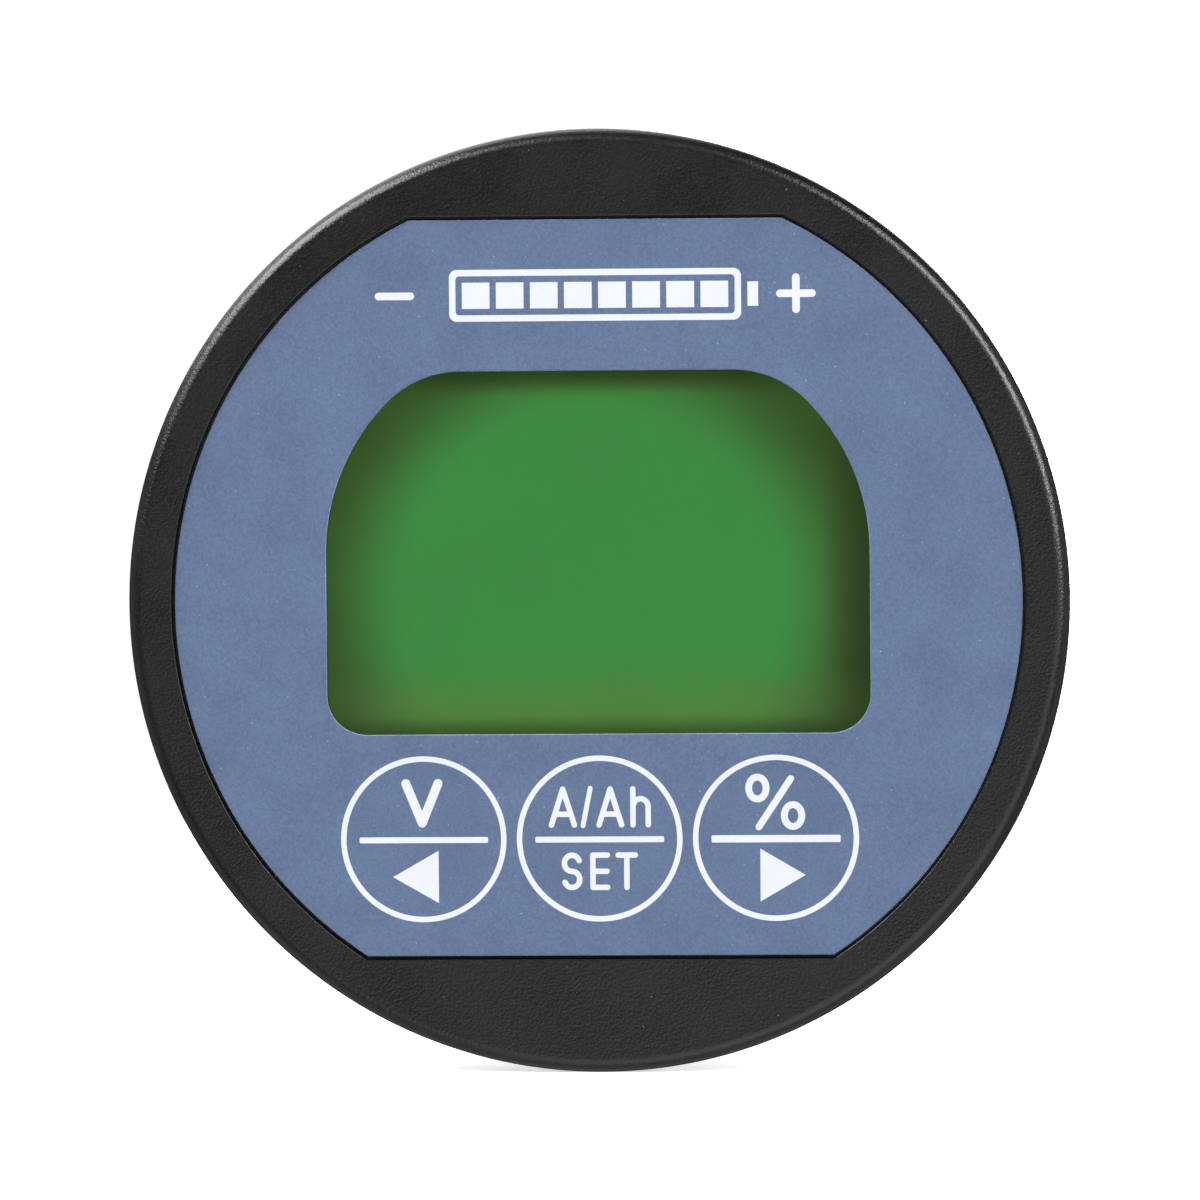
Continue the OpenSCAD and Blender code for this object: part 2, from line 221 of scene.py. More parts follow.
# Screws, and the socket's well
SCREW_PLACES = [(0.0, 20.2 * MM), (17 * MM, -12.45 * MM), (-17 * MM, -12.45 * MM)]
SCREW_R = 1.1 * MM
SCREW_TIP = front("case_screws")
SCREW_TOP = back("case_screws")
SCREW_HEAD_R = 2.1 * MM
SCREW_SEAT = SCREW_TOP - 1.6 * MM
SCREW_GAP = 0.15 * MM
CROSS = (1.25 * MM, 0.26 * MM)
CROSS_DEPTH = 0.9 * MM
CROSS_TAPER = 0.55
COUNTERBORE_R = 2.5 * MM
COUNTERBORE_FLARE = 0.25 * MM
BOSS_R = 3.3 * MM
BOSS_END = SCREW_SEAT - 1 * MM
WELL = (13.2 * MM, 6.6 * MM)
WELL_CORNER = 0.6 * MM
WELL_WALL = 1 * MM
WELL_FLARE = 0.3 * MM
WELL_GAP = 0.1 * MM

# Marks that the mould leaves on the can's back, and the shallow place for a label
EJECTOR_R = 2.2 * MM
EJECTOR_ANGLES = (27, 153, 270)
EJECTOR_REACH = 17.5 * MM
MARK_DEPTH = 0.12 * MM
LABEL = (21 * MM, 8.4 * MM)
LABEL_CORNER = 1 * MM
LABEL_PLACE = np.array((0.0, 6.4 * MM))

# The camera's place: its distance in metres, the bezel's share of the picture, and degrees
CAMERA_DISTANCE = 0.75
CAMERA_SHARE = 0.78533
CAMERA_TURN = 4.5
CAMERA_HEIGHT = 2.0
CAMERA_ROLL = -0.5

SIDES = 240
SHARP = math.radians(32)
WELD = 1e-8


# ---- Outlines ----

def arc(centre, radius, start, end, steps):
    """Points along an arc between two angles in degrees; radius may be a pair for an ellipse."""
    turns = np.radians(np.linspace(start, end, steps + 1))
    spread = np.broadcast_to(radius, 2)
    return np.column_stack([np.cos(turns), np.sin(turns)]) * spread + centre


def circle(centre, radius, sides=SIDES):
    return arc(centre, radius, 0, 360, sides)[:-1]


def block(low, high, corner=0.0, steps=6):
    """A rectangle, with its corners rounded if corner isn't zero."""
    if not corner:
        return np.array([low, (high[0], low[1]), high, (low[0], high[1])])
    right, left = high[0] - corner, low[0] + corner
    upper, lower = high[1] - corner, low[1] + corner
    return np.vstack([
        arc((right, upper), corner, 0, 90, steps), arc((left, upper), corner, 90, 180, steps),
        arc((left, lower), corner, 180, 270, steps), arc((right, lower), corner, 270, 360, steps)])


def subdivided(outline, step):
    """The same closed outline with no stretch longer than step."""
    points = []
    for a, b in zip(outline, np.roll(outline, -1, axis=0)):
        count = max(1, math.ceil(np.linalg.norm(b - a) / step))
        points += [a + (b - a) * i / count for i in range(count)]
    return np.array(points)


def window_outline(grow=0.0):
    """The window: flat foot, bulging sides, and upper corners clipped by a crown about the axis."""
    crest_z = WINDOW_TOP - CREST_R
    crest_x = math.sqrt((CROWN_R - CREST_R) ** 2 - crest_z ** 2)
    side_x = WINDOW_HALF - SIDE_R
    side_z = math.sqrt((CROWN_R - SIDE_R) ** 2 - side_x ** 2)
    foot = (WINDOW_HALF - FOOT_R, WINDOW_FOOT + FOOT_R)
    crest_end = math.degrees(math.atan2(crest_z, crest_x))
    side_end = math.degrees(math.atan2(side_z, side_x))
    half = np.vstack([
        arc((crest_x, crest_z), CREST_R + grow, 90, crest_end, 24),
        arc((0, 0), CROWN_R + grow, crest_end, side_end, 8)[1:],
        arc((side_x, side_z), SIDE_R + grow, side_end, 0, 28)[1:],
        arc(foot, FOOT_R + grow, 0, -90, 14)])
    return np.vstack([half, half[::-1] * (-1, 1)])


def flatted_outline(grow=0.0):
    """The overlay: a disc cut flat at the top and at the bottom, counter-clockwise."""
    radius = FILM_R + grow
    upper = math.degrees(math.asin((FILM_TOP + grow) / radius))
    lower = math.degrees(math.asin((FILM_FOOT - grow) / radius))
    right = arc((0, 0), radius, lower, upper, 240)
    left = arc((0, 0), radius, 180 - upper, 180 - lower, 240)
    top = np.linspace(right[-1], left[0], 105)[1:-1]
    foot = np.linspace(left[-1], right[0], 137)[1:-1]
    return np.vstack([right, top, left, foot])


def radii_of(outline, angles):
    """Distance from the axis to an outline round it, at each angle."""
    fine = subdivided(outline, 0.05 * MM)
    own = np.arctan2(fine[:, 1], fine[:, 0])
    return np.interp(angles, own, np.hypot(fine[:, 0], fine[:, 1]), period=2 * math.pi)


def polar(radii, angles):
    return np.column_stack([radii * np.cos(angles), radii * np.sin(angles)])


def stroke(points, thickness):
    """A line with round ends through the points, as one outline for each straight stretch."""
    outlines = []
    for a, b in zip(points, points[1:]):
        heading = math.degrees(math.atan2(b[1] - a[1], b[0] - a[0]))
        outlines.append(np.vstack([
            arc(b, thickness / 2, heading - 90, heading + 90, 10),
            arc(a, thickness / 2, heading + 90, heading + 270, 10)]))
    return outlines


# ---- Mesh work ----

def at(outline, level):
    """An outline (x, z) as points in space at one level."""
    return np.insert(np.asarray(outline, float), 1, level, axis=1)


def add_rings(bm, rings, closed=False):
    """Bridges each ring of points to the next; a ring of one point is a pole."""
    made = [[bm.verts.new(p) for p in ring] for ring in rings]
    pairs = list(zip(made, made[1:])) + ([(made[-1], made[0])] if closed else [])
    for a, b in pairs:
        for i in range(max(len(a), len(b))):
            j = i + 1
            corners = (a[i % len(a)], a[j % len(a)], b[j % len(b)], b[i % len(b)])
            bm.faces.new(list(dict.fromkeys(corners)))


def lathe(profile, centre=(0.0, 0.0), sides=SIDES):
    """Rings of a profile of (radius, level) points turned about a line along Y."""
    rings = []
    for radius, level in profile:
        outline = [centre] if radius == 0 else circle(centre, radius, sides)
        rings.append(at(outline, level))
    return rings


def rounded(corner, before, after, radius, steps=5):
    """Profile points that round a corner between its two neighbours."""
    corner, before, after = np.array(corner), np.array(before), np.array(after)
    a = corner + (before - corner) / np.linalg.norm(before - corner) * radius
    b = corner + (after - corner) / np.linalg.norm(after - corner) * radius
    t = np.linspace(0, 1, steps + 1)[:, None]
    return [tuple(p) for p in (1 - t) ** 2 * a + 2 * t * (1 - t) * corner + t ** 2 * b]


def eased(profile, radii, closed=False):
    """A profile with its corners rounded; radii gives each corner's rounding, or zero."""
    count = len(profile)
    points = []
    for i, (corner, radius) in enumerate(zip(profile, radii)):
        if not radius or (not closed and i in (0, count - 1)):
            points.append(corner)
        else:
            points += rounded(corner, profile[i - 1], profile[(i + 1) % count], radius)
    return points


def inside(outline, points):
    """Which points lie within an outline, by counting the edges that a ray crosses."""
    x, z = points[:, 0, None], points[:, 1, None]
    ax, az = outline[:, 0], outline[:, 1]
    bx, bz = np.roll(ax, -1), np.roll(az, -1)
    spans = (az > z) != (bz > z)
    rise = np.where(bz == az, 1.0, bz - az)
    return (spans & (x < ax + (z - az) * (bx - ax) / rise)).sum(axis=1) % 2 == 1


def within(outlines, points):
    return np.any([inside(o, points) for o in outlines], axis=0)


def filled(outlines, holes=(), spacing=None):
    """Points and triangles of the region inside any of the outlines and outside the holes.

    With a spacing, a grid of that size is laid inside, so that the region can bend."""
    points, edges = [], []
    for ring in [*outlines, *holes]:
        first, count = len(points), len(ring)
        points += [Vector(p / MM) for p in ring]
        edges += [(first + i, first + (i + 1) % count) for i in range(count)]
    if spacing:
        cloud = np.vstack(outlines)
        xs, zs = (np.arange(lo, hi, spacing) for lo, hi in zip(cloud.min(0), cloud.max(0)))
        grid = np.array([(x, z) for x in xs for z in zs])
        points += [Vector(p / MM) for p in grid[within(outlines, grid)]]
    found = delaunay_2d_cdt(points, edges, [], 0, 1e-5)
    spots = np.array([tuple(v) for v in found[0]]) * MM
    triangles = np.array([tuple(f) for f in found[2]])
    centres = spots[triangles].mean(axis=1)
    keep = within(outlines, centres)
    if len(holes):
        keep &= ~within(holes, centres)
    return spots, triangles[keep]


def add_flat(bm, outlines, holes, level):
    """A flat face at one level."""
    spots, triangles = filled(outlines, holes)
    used = {i: bm.verts.new((spots[i][0], level, spots[i][1])) for i in np.unique(triangles)}
    for triangle in triangles:
        bm.faces.new([used[i] for i in triangle])


def add_layer(bm, outlines, holes, surface, thickness, spacing=None):
    """A thin closed layer that stands proud of a surface, and is sunk in it as deep."""
    spots, triangles = filled(outlines, holes, spacing)
    top, low = {}, {}
    for i in np.unique(triangles):
        x, z = spots[i]
        top[i] = bm.verts.new((x, surface(x, z) - thickness, z))
        low[i] = bm.verts.new((x, surface(x, z) + thickness, z))
    sides = set()
    for a, b, c in triangles:
        bm.faces.new((top[a], top[b], top[c]))
        bm.faces.new((low[c], low[b], low[a]))
        sides ^= {frozenset((a, b)), frozenset((b, c)), frozenset((c, a))}
    for a, b in map(tuple, sides):
        bm.faces.new((top[a], top[b], low[b], low[a]))


def add_plate(bm, rims, near, far, edge, steps=4):
    """A plate between two levels. Each rim is a function of how far it is trimmed back, the
    outer one first, and the plate's near edges are rounded by edge."""
    trimmed = [rim(edge + FLAT_MARGIN) for rim in rims]
    full = [rim(0.0) for rim in rims]
    add_flat(bm, trimmed[:1], trimmed[1:], near)
    add_flat(bm, full[:1], full[1:], far)
    turns = np.linspace(0, math.pi / 2, steps + 1)
    for rim in rims:
        if np.allclose(rim(edge), rim(0.0)):
            add_rings(bm, [at(rim(0.0), near), at(rim(0.0), far)])
            continue
        rings = [at(rim(edge * (1 - math.sin(t))), near + edge * (1 - math.cos(t)))
                 for t in turns]
        add_rings(bm, [at(rim(edge + FLAT_MARGIN), near), *rings, at(rim(0.0), far)])


def add_prism(bm, outline, near, far):
    """A straight solid with an outline, between two levels."""
    add_rings(bm, [at(outline, near), at(outline, far)])
    add_flat(bm, [outline], [], near)
    add_flat(bm, [outline], [], far)


def settled(bm):
    """Joins touching points and turns every face outwards."""
    bmesh.ops.remove_doubles(bm, verts=bm.verts, dist=WELD)
    bmesh.ops.recalc_face_normals(bm, faces=bm.faces)
    return bm


def loose_object(bm):
    mesh = bpy.data.meshes.new("loose")
    settled(bm).to_mesh(mesh)
    bm.free()
    obj = bpy.data.objects.new("loose", mesh)
    bpy.context.scene.collection.objects.link(obj)
    return obj


def combined(bm, tool, operation):
    """The solid bm after a boolean operation with the solid tool."""
    obj, other = loose_object(bm), loose_object(tool)
    change = obj.modifiers.new("combine", "BOOLEAN")
    change.operation = operation
    change.solver = "MANIFOLD"
    change.object = other
    result = bmesh.new()
    result.from_object(obj, bpy.context.evaluated_depsgraph_get())
    for used in (obj, other):
        mesh = used.data
        bpy.data.objects.remove(used)
        bpy.data.meshes.remove(mesh)
    return result


def piece(name, bm, material, body=None, stands_for=()):
    """Makes a finished piece of a mesh, hides the CAD parts that it stands for and, with a body,
    hangs it on that body's empty.
    """
    mesh = bpy.data.meshes.new(name)
    settled(bm).to_mesh(mesh)
    bm.free()
    mesh.shade_smooth()
    mesh.set_sharp_from_angle(angle=SHARP)
    mesh.materials.append(material)
    obj = bpy.data.objects.new(name, mesh)
    bpy.context.scene.collection.objects.link(obj)
    shading = obj.modifiers.new("even shading", "WEIGHTED_NORMAL")
    shading.keep_sharp = True
    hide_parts(*stands_for)
    if body:
        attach(obj, body)
    return obj


# ---- Materials ----

SPECK_R = 0.08 * MM
PALE_SHARE = 0.35


def linear(red, green, blue):
    """A colour on the 0 to 255 display scale, as the shader's linear values."""
    shares = [c / 255 for c in (red, green, blue)]
    return [s / 12.92 if s <= 0.04045 else ((s + 0.055) / 1.055) ** 2.4 for s in shares]


class Nodes:
    """A material's node tree, with one method for each kind of node it needs."""

    def __init__(self, name):
        self.material = bpy.data.materials.new(name)
        self.material.use_nodes = True
        self.tree = self.material.node_tree
        self.shader = self.tree.nodes["Principled BSDF"]
        coordinates = self.tree.nodes.new("ShaderNodeTexCoord")
        self.place = coordinates.outputs["Object"]
        self.facing = coordinates.outputs["Normal"]

    def link(self, output, target):
        self.tree.links.new(output, target)

    def noise(self, size, detail=2.0, roughness=0.5):
        """Noise between 0 and 1 whose grains are about size across."""
        node = self.tree.nodes.new("ShaderNodeTexNoise")
        node.inputs["Scale"].default_value = 1 / size
        node.inputs["Detail"].default_value = detail
        node.inputs["Roughness"].default_value = roughness
        self.link(self.place, node.inputs["Vector"])
        return node.outputs[0]

    def specks(self, spacing):
        """More than 0 inside scattered specks, and 0 elsewhere."""
        node = self.tree.nodes.new("ShaderNodeTexVoronoi")
        node.inputs["Scale"].default_value = 1 / spacing
        self.link(self.place, node.inputs["Vector"])
        return self.spread(node.outputs["Distance"], SPECK_R / spacing, 0.0, 0.0, PALE_SHARE)

    def sides(self):
        """A painted highlight on the edges: more than 0 where the surface doesn't face the reader,
        and 0 where it does.
        """
        split = self.tree.nodes.new("ShaderNodeSeparateXYZ")
        self.link(self.facing, split.inputs[0])
        return self.spread(self.math("ABSOLUTE", split.outputs["Y"]), 0.97, 0.6, 0.0, PALE_SHARE)

    def spread(self, value, low, high, to_low, to_high, smooth=False):
        """Maps a value's range to another one, held at its ends."""
        node = self.tree.nodes.new("ShaderNodeMapRange")
        node.interpolation_type = "SMOOTHSTEP" if smooth else "LINEAR"
        for socket, number in zip(node.inputs[1:5], (low, high, to_low, to_high)):
            socket.default_value = number
        self.link(value, node.inputs[0])
        return node.outputs[0]

    def math(self, operation, *values):
        node = self.tree.nodes.new("ShaderNodeMath")
        node.operation = operation
        for socket, value in zip(node.inputs, values):
            if isinstance(value, (int, float)):
                socket.default_value = value
            else:
                self.link(value, socket)
        return node.outputs[0]

    def ramp(self, value, *stops):
        """Colours along a value, each stop a position and a colour."""
        node = self.tree.nodes.new("ShaderNodeValToRGB")
        elements = node.color_ramp.elements
        while len(elements) < len(stops):
            elements.new(0.5)
        for element, (position, colour) in zip(elements, stops):
            element.position = position
            element.color = (*colour, 1)
        self.link(value, node.inputs[0])
        return node.outputs[0]

    def mixed(self, share, first, second):
        """One colour that turns into another as the share goes from 0 to 1."""
        node = self.tree.nodes.new("ShaderNodeMix")
        node.data_type = "RGBA"
        self.link(share, node.inputs["Factor"])
        for name, colour in (("A", first), ("B", second)):
            socket = next(i for i in node.inputs if i.name == name and i.type == "RGBA")
            self.link(colour, socket)
        return next(o for o in node.outputs if o.type == "RGBA")

    def bump(self, height, depth):
        node = self.tree.nodes.new("ShaderNodeBump")
        node.inputs["Distance"].default_value = depth
        self.link(height, node.inputs["Height"])
        self.link(node.outputs[0], self.shader.inputs["Normal"])

    def constants(self, **values):
        for name, value in values.items():
            self.shader.inputs[name.replace("_", " ")].default_value = value


def finish(name, colour, roughness, grain, relief, mottle=0.08, uneven=0.06,
           pale=None, spacing=0.7 * MM, painted_edge_highlight=False, **constants):
    """A surface with a fine relief, whose shade and gloss drift a little. If pale is given, it has
    specks of that colour, and painted_edge_highlight gives that colour to its sides as well, as a
    painted highlight where its cut edges catch the light."""
    nodes = Nodes(name)
    nodes.constants(**constants)
    fine = nodes.noise(grain, detail=3, roughness=0.6)
    broad = nodes.noise(grain * 30, detail=3)
    base = linear(*colour)
    shade = nodes.math("ADD", nodes.math("MULTIPLY", fine, 0.75), nodes.math("MULTIPLY", broad, 0.25))
    stops = [(0.3, [c * (1 - mottle) for c in base]), (0.7, [min(1, c * (1 + mottle)) for c in base])]
    if pale:
        shade = nodes.math("ADD", shade, nodes.specks(spacing))
        stops.append((1.0, linear(*pale)))
    # Painted highlight: the sides get the pale colour, as if the cut edges caught the light
    if painted_edge_highlight:
        shade = nodes.math("ADD", shade, nodes.sides())
    nodes.link(nodes.ramp(shade, *stops), nodes.shader.inputs["Base Color"])
    gloss = nodes.spread(broad, 0.3, 0.7, roughness - uneven, roughness + uneven)
    nodes.link(gloss, nodes.shader.inputs["Roughness"])
    nodes.bump(fine, relief)
    return nodes.material


def lens_finish():
    """Clear acrylic with a faintly uneven polish."""
    nodes = Nodes("clear_acrylic")
    nodes.constants(Transmission_Weight=1.0, IOR=1.49)
    nodes.shader.inputs["Base Color"].default_value = (0.96, 0.98, 0.97, 1)
    haze = nodes.noise(2 * MM, detail=3)
    nodes.link(nodes.spread(haze, 0.3, 0.7, 0.02, 0.06), nodes.shader.inputs["Roughness"])
    return nodes.material


def display_glow_and_painted_shade():
    """The green display with no segments driven. Its glow is partly the backlight's own and partly
    stands in for the light that falls on it through the lens, and painted shade makes it darker and
    yellower towards its edges, for the shadow of the window's edges and the backlight's unevenness.
    """
    nodes = Nodes("blank_display")
    split = nodes.tree.nodes.new("ShaderNodeSeparateXYZ")
    nodes.link(nodes.place, split.inputs[0])
    x, z = split.outputs["X"], split.outputs["Z"]
    across = nodes.math("ADD", x, CROWN_SHADE_SHIFT)
    squares = nodes.math("ADD", nodes.math("MULTIPLY", across, across), nodes.math("MULTIPLY", z, z))
    radius = nodes.math("SQRT", squares)
    # light is the share of the glow that the painted shade leaves
    light = 1.0
    # Each edge's painted shade runs from the edge towards the axis
    for value, edge, (least, reach) in ((radius, CROWN_R, CROWN_PAINTED_SHADE), (x, WINDOW_HALF, RIGHT_PAINTED_SHADE),
                                        (z, WINDOW_TOP, TOP_PAINTED_SHADE), (z, WINDOW_FOOT, FOOT_PAINTED_SHADE)):
        inner = edge - math.copysign(reach, edge)
        fade = nodes.spread(value, edge, inner, least, 1.0, smooth=True)
        light = nodes.math("MULTIPLY", light, fade)
    cloud = nodes.spread(nodes.noise(7 * MM, detail=2), 0.3, 0.7, -0.04, 0.04)
    light = nodes.math("ADD", light, cloud)
    # Where the painted shade is deepest, the glow turns darker and yellower
    green = nodes.ramp(light, (0.0, linear(24, 55, 0)), (0.2, linear(42, 71, 13)),
                       (0.45, linear(49, 93, 32)), (0.7, linear(53, 115, 45)),
                       (0.88, linear(55, 129, 53)), (1.0, linear(54, 139, 57)))
    olive = nodes.ramp(light, (0.0, linear(36, 60, 8)), (0.5, linear(62, 101, 40)),
                       (1.0, linear(76, 130, 51)))
    low = nodes.spread(z, WINDOW_FOOT + OLIVE_FROM, WINDOW_FOOT + OLIVE_TO, 0.0, 1.0, smooth=True)
    # The glow: partly the backlight's own, and partly standing in for the light that falls on the
    # display through the lens
    nodes.link(nodes.mixed(low, green, olive), nodes.shader.inputs["Emission Color"])
    nodes.shader.inputs["Base Color"].default_value = (*linear(10, 16, 9), 1)
    nodes.constants(Emission_Strength=1.0, Roughness=0.35, Specular_IOR_Level=0.1)
    return nodes.material


BEZEL_PLASTIC = finish("bezel_moulding", (13, 14, 14), 0.25, 0.19 * MM, 0.032 * MM, mottle=0.9,
                       uneven=0.04, pale=(150, 150, 147), spacing=1.0 * MM,
                       Specular_IOR_Level=0.64)
CASE_PLASTIC = finish("case_moulding", (30, 31, 32), 0.5, 0.2 * MM, 0.01 * MM)
NUT_PLASTIC = finish("nut_moulding", (34, 35, 36), 0.48, 0.2 * MM, 0.01 * MM)
GASKET_RUBBER = finish("gasket_rubber", (24, 24, 24), 0.75, 0.1 * MM, 0.008 * MM)
FOAM_RUBBER = finish("foam", (20, 20, 20), 0.9, 0.25 * MM, 0.05 * MM)
# The film's cut edges carry a painted highlight in its pale colour
FILM = finish("overlay_film", (81, 99, 130), 0.56, 0.13 * MM, 0.004 * MM, mottle=0.28,
              pale=(190, 200, 224), painted_edge_highlight=True)
INK_WHITE = finish("white_print", (209, 212, 221), 0.5, 0.13 * MM, 0.004 * MM, mottle=0.04)
ADHESIVE = finish("adhesive", (196, 192, 180), 0.4, 0.3 * MM, 0.004 * MM)
ACRYLIC = lens_finish()
DISPLAY = display_glow_and_painted_shade()
GLASS = finish("display_glass", (150, 185, 160), 0.08, 2 * MM, 0.001 * MM, uneven=0.02)
GUIDE = finish("light_guide", (226, 236, 208), 0.25, 0.5 * MM, 0.004 * MM)
EMITTER = finish("light_emitter", (236, 232, 196), 0.4, 0.2 * MM, 0.004 * MM)
WHITE_PLASTIC = finish("white_moulding", (226, 223, 212), 0.45, 0.2 * MM, 0.005 * MM, mottle=0.03)
TINNED = finish("tinned_metal", (205, 203, 196), 0.28, 0.1 * MM, 0.002 * MM, Metallic=1.0)
BOARD = finish("solder_mask", (22, 92, 48), 0.35, 0.6 * MM, 0.006 * MM)
SWITCH_PLASTIC = finish("switch_moulding", (26, 26, 27), 0.5, 0.15 * MM, 0.004 * MM)
CHIP_PLASTIC = finish("chip_moulding", (24, 24, 26), 0.6, 0.08 * MM, 0.004 * MM)
CERAMIC = finish("resistor_ceramic", (38, 38, 42), 0.35, 0.1 * MM, 0.004 * MM)
STEEL = finish("stamped_steel", (196, 197, 199), 0.3, 0.12 * MM, 0.002 * MM, Metallic=1.0)
ALUMINIUM = finish("capacitor_can", (188, 190, 194), 0.3, 0.15 * MM, 0.002 * MM, Metallic=1.0)
KEY_PLASTIC = finish("key_moulding", (60, 61, 63), 0.5, 0.15 * MM, 0.006 * MM)


# ---- Bezel ----

def add_bezel_ring(bm):
    """The bezel without its holes, as rings of points from the window round to the pocket."""
    recess = flatted_outline(RECESS_GAP)
    angles = np.arctan2(recess[:, 1], recess[:, 0])
    opening = polar(radii_of(window_outline(LENS_GAP), angles), angles)
    pocket = polar(radii_of(window_outline(LENS_MARGIN + LENS_GAP), angles), angles)
    moat = flatted_outline(-MOAT_INSET)
    rings = [at(opening, WALL), at(opening, LENS_BACK), at(pocket, LENS_BACK), at(pocket, RECESS),
             at(moat, RECESS), at(moat, RECESS + MOAT_DEPTH), at(recess, RECESS + MOAT_DEPTH)]
    for t in np.linspace(0, math.pi / 2, 5):
        grow = RECESS_GAP + RECESS_EDGE * (1 - math.cos(t))
        rings.append(at(flatted_outline(grow), FACE + RECESS_EDGE * (1 - math.sin(t))))
    rings.append(at(flatted_outline(RECESS_GAP + RECESS_EDGE + FLAT_MARGIN), FACE))
    outside = [(BEZEL_R - EDGE_R - FLAT_MARGIN, FACE)]
    outside += [(BEZEL_R - EDGE_R + EDGE_R * math.sin(t), FACE + EDGE_R * (1 - math.cos(t)))
                for t in np.linspace(0, math.pi / 2, 15)]
    outside += eased([(BEZEL_R, FACE + EDGE_R), (BEZEL_R, FLANGE_BACK), (SPIGOT_R, FLANGE_BACK)],
                     (0, FLANGE_EDGE, 0))[1:]
    outside += eased([(SPIGOT_R, FLANGE_BACK), (SPIGOT_R, SPIGOT_END), (POCKET_R, SPIGOT_END)],
                     (0, SPIGOT_EDGE, 0))[1:]
    outside.append((POCKET_R, WALL))
    rings += [at(polar(radius, angles), level) for radius, level in outside]
    add_rings(bm, rings, closed=True)


def bezel():
    """The bezel, with its posts for the screws and its openings for the keys."""
    solid, posts, cuts = bmesh.new(), bmesh.new(), bmesh.new()
    add_bezel_ring(solid)
    post_start, post_end = WALL - OVERLAP, back("front_bezel")
    post = [(0, post_start), (POST_R, post_start), (POST_R, post_end), (0, post_end)]
    screw_hole = [(0, SCREW_HOLE_END), (SCREW_HOLE_R, SCREW_HOLE_END),
                  (SCREW_HOLE_R, CAN_BACK), (0, CAN_BACK)]
    for place in SCREW_PLACES:
        add_rings(posts, lathe(post, place, sides=64))
        add_rings(cuts, lathe(screw_hole, place, sides=48))
    relief, end = RECESS + RELIEF_DEPTH, WALL + OVERLAP
    key_hole = [(0, FACE), (RELIEF_R, FACE), (RELIEF_R, relief), (PLUNGER_HOLE_R, relief),
                (PLUNGER_HOLE_R, end), (0, end)]
    for key in KEYS:
        place = np.array(middle(f"key_film_{key}"))
        add_rings(cuts, lathe(key_hole, place, sides=96))
        room = block(place - SWITCH_ROOM / 2, place + SWITCH_ROOM / 2)
        add_prism(cuts, room, front(f"switch_cover_{key}") - SWITCH_GAP, CAN_BACK)
    solid = combined(solid, posts, "UNION")
    solid = combined(solid, cuts, "DIFFERENCE")
    piece("bezel_shell", solid, BEZEL_PLASTIC, "head", ["front_bezel"])


# ---- Overlay, keys and print ----

def overlay():
    """The printed film, with its window and the holes that the keys' patches fill."""
    solid = bmesh.new()
    rims = [lambda trim: flatted_outline(-trim), window_outline]
    for key in KEYS:
        patch = circle(middle(f"key_film_{key}"), PATCH_R, KEY_SIDES)
        rims.append(lambda trim, patch=patch: patch)
    add_plate(solid, rims, FILM_FRONT, FILM_BACK, FILM_EDGE)
    piece("overlay_film", solid, FILM, "head", ["overlay_sheet"])


def dish(distance):
    """How far a key's film lies below the overlay, at a distance from the key's centre."""
    return DISH * min(1.0, max(0.0, (BEND_R - distance) / (BEND_R - CAP_R)))


def bend(obj):
    """Bakes a piece's place into its mesh."""
    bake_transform(obj)


def key_patch(key):
    """A key's round patch of film, with rings enough between its rim and its cap to bend."""
    centre = middle(f"key_film_{key}")
    radii = [0, CAP_R / 2, *np.linspace(CAP_R, BEND_R, 7), PATCH_R]
    profile = [(r, FILM_FRONT + dish(r)) for r in radii] + [(PATCH_R, FILM_BACK), (0, FILM_BACK)]
    solid = bmesh.new()
    add_rings(solid, lathe(profile, centre, KEY_SIDES))
    patch = piece(f"key_patch_{key}", solid, FILM, None, [f"key_film_{key}"])
    bend(patch)


def letter_v():
    return stroke([(-1.155, 3.665), (-0.095, 1.065), (0.965, 3.665)], 0.59)


def letter_a(left, foot, right, top, weight):
    apex = (left + right) / 2
    bar = foot + (top - foot) * 0.3
    inset = (right - left) / 2 * 0.3
    return (stroke([(left, foot), (apex, top), (right, foot)], weight)
            + stroke([(left + inset, bar), (right - inset, bar)], weight))


def amp_hours():
    """A/Ah"""
    weight, foot, top = 0.36, 0.895, 3.255
    arch = arc((2.705, 2.08), (0.5, 0.53), 180, 0, 12)
    return (letter_a(-3.175, foot, -1.655, top, weight)
            + stroke([(-1.09, foot - 0.05), (-0.6, top + 0.05)], weight * 0.9)
            + letter_a(-0.035, foot, 1.455, top, weight)
            + stroke([(2.205, foot), (2.205, top)], weight)
            + stroke([*arch, (3.205, foot)], weight))


def set_word():
    """SET"""
    weight, foot, top = 0.36, -3.215, -1.095
    rise = (top - foot) / 4
    centre = (top + foot) / 2
    upper = arc((-1.84, top - rise), (0.505, rise), 20, 270, 16)
    lower = arc((-1.84, foot + rise), (0.505, rise), 90, -160, 16)
    return (stroke([*upper, *lower], weight)
            + stroke([(0.495, top), (-0.465, top), (-0.465, foot), (0.495, foot)], weight)
            + stroke([(-0.465, centre), (0.46, centre)], weight)
            + stroke([(1.205, top), (2.335, top)], weight)
            + stroke([(1.77, top), (1.77, foot)], weight))


def percent():
    rings = [arc(centre, (0.575, 0.72), 0, 360, 28) for centre in ((-1.2, 3.27), (1.13, 1.455))]
    return (stroke(rings[0], 0.45) + stroke(rings[1], 0.45)
            + stroke([(-1.12, 0.72), (0.99, 3.88)], 0.45))


def arrow(tip, tail, top, foot):
    return [np.array([(tip, (top + foot) / 2), (tail, top), (tail, foot)])]


RING_R = 5.28
RING_WEIGHT = 0.36
BAR_HALF = 4.24
BAR_LEVEL = -0.06
BAR_CORNER = 0.08
BAR_WEIGHTS = {"left": 0.39, "centre": 0.39, "right": 0.48}
LEGENDS = {
    "left": letter_v() + arrow(-2.05, 0.97, -0.76, -4.21),
    "centre": amp_hours() + set_word(),
    "right": percent() + arrow(1.93, -1.04, -0.71, -4.18),
}


